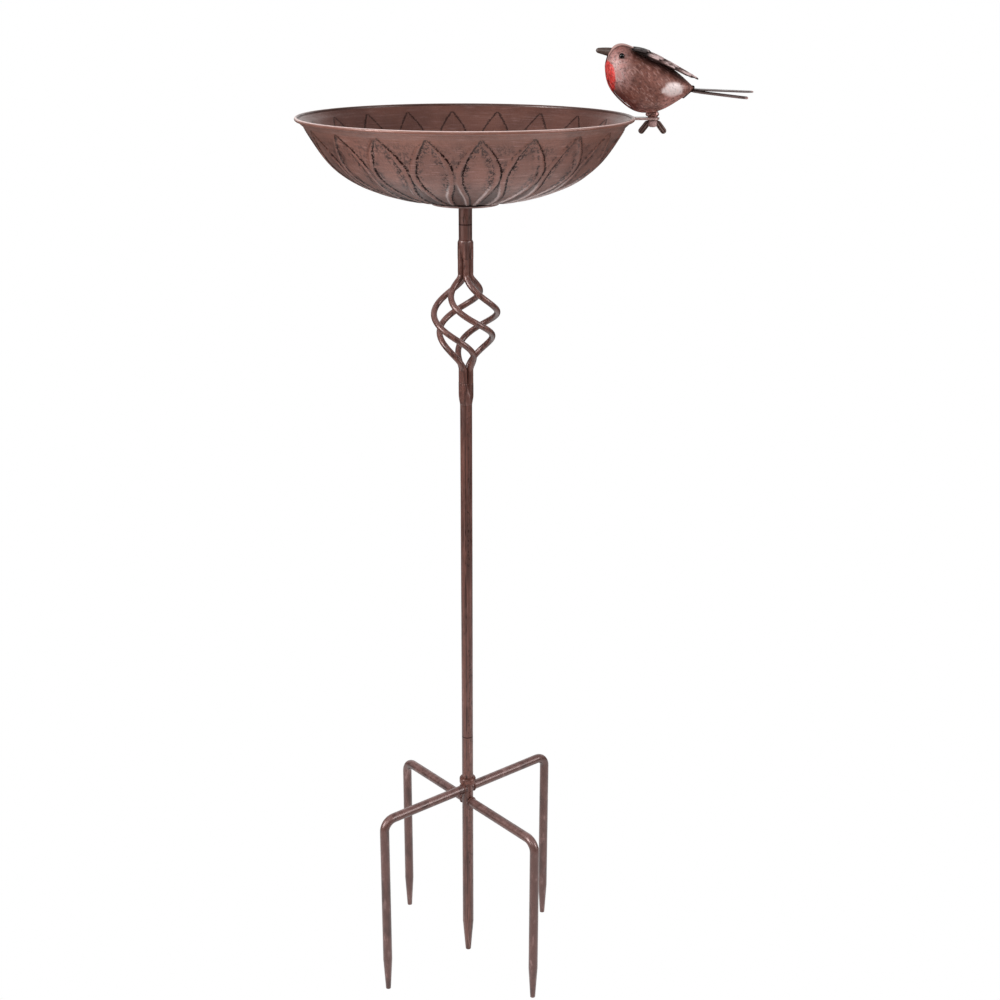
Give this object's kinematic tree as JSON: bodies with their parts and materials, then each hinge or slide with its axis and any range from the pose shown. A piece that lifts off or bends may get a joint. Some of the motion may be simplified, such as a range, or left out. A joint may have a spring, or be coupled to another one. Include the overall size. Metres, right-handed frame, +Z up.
{
  "type": "bird bath",
  "caption": "Garden bird bath: leaf-embossed metal bowl on a pole with a twisted rod basket, a pronged ground stake and a metal robin clamped to the rim.",
  "frame": {"origin": "blunt tip of the centre spike, on the pole axis, in the plane of the five spike tips", "axes": "+Z up along the pole, +X from the pole towards the robin and its clamp, +Y to the left of someone looking along +X"},
  "size_m": [0.429, 0.3172, 0.9828],
  "materials": {
    "bronze_effect_paint": "antique bronze effect, dark patina brushed into the hollows",
    "robin_paint": "brushed bronze effect with feather strokes and a red breast",
    "beak_paint": "dark brown paint",
    "eye_bead": "gloss black",
    "pin_steel": "plain turned steel"
  },
  "bodies": {
    "stake": {"stake_spike": "bronze_effect_paint", "stake_spigot": "pin_steel", "stop_collar": "bronze_effect_paint", "prong_back_right": "bronze_effect_paint", "prong_back_left": "bronze_effect_paint", "prong_front_left": "bronze_effect_paint", "prong_front_right": "bronze_effect_paint"},
    "post": {"main_pole": "bronze_effect_paint", "basket_rod_1": "bronze_effect_paint", "basket_rod_2": "bronze_effect_paint", "basket_rod_3": "bronze_effect_paint", "basket_rod_4": "bronze_effect_paint", "head_tube": "bronze_effect_paint"},
    "pin": {"bowl_pin": "pin_steel"},
    "basin": {"bowl": "bronze_effect_paint", "bowl_plate": "bronze_effect_paint", "bowl_socket": "bronze_effect_paint", "bird_tab": "bronze_effect_paint"},
    "robin": {"body_shell_left": "robin_paint", "body_shell_right": "robin_paint", "beak": "beak_paint", "eye_left": "eye_bead", "eye_right": "eye_bead", "wing_left": "robin_paint", "wing_right": "robin_paint", "tail_feather_upper": "robin_paint", "tail_feather_lower": "robin_paint", "belly_boss": "bronze_effect_paint", "bird_screw": "bronze_effect_paint", "lock_nut": "bronze_effect_paint"},
    "clamp_washer": {"washer": "bronze_effect_paint"},
    "clamp_nut": {"wing_nut": "bronze_effect_paint"}
  },
  "joints": [
    {"name": "post_lift", "type": "slide", "parent": "stake", "child": "post", "axis": [0, 0, 1], "range_m": [0, 0.038]},
    {"name": "pin_lift", "type": "slide", "parent": "post", "child": "pin", "axis": [0, 0, 1], "range_m": [0, 0.015]},
    {"name": "bowl_turn", "type": "hinge", "parent": "pin", "child": "basin", "pos_m": [0, 0, 0.8266], "axis": [0, 0, 1], "continuous": true},
    {"name": "robin_turn", "type": "hinge", "parent": "basin", "child": "robin", "pos_m": [0.176, 0, 0.9155], "axis": [0, 0, 1], "continuous": true},
    {"name": "washer_travel", "type": "slide", "parent": "robin", "child": "clamp_washer", "axis": [0, 0, -1], "range_m": [0, 0.0032]},
    {"name": "wing_nut_turn", "type": "hinge", "parent": "clamp_washer", "child": "clamp_nut", "pos_m": [0.176, 0, 0.911], "axis": [0, 0, -1], "range_deg": [0, 1440]}
  ],
  "couplings": [
    {"joint": "washer_travel", "follows": "wing_nut_turn", "m_per_rad": 0.000127}
  ]
}
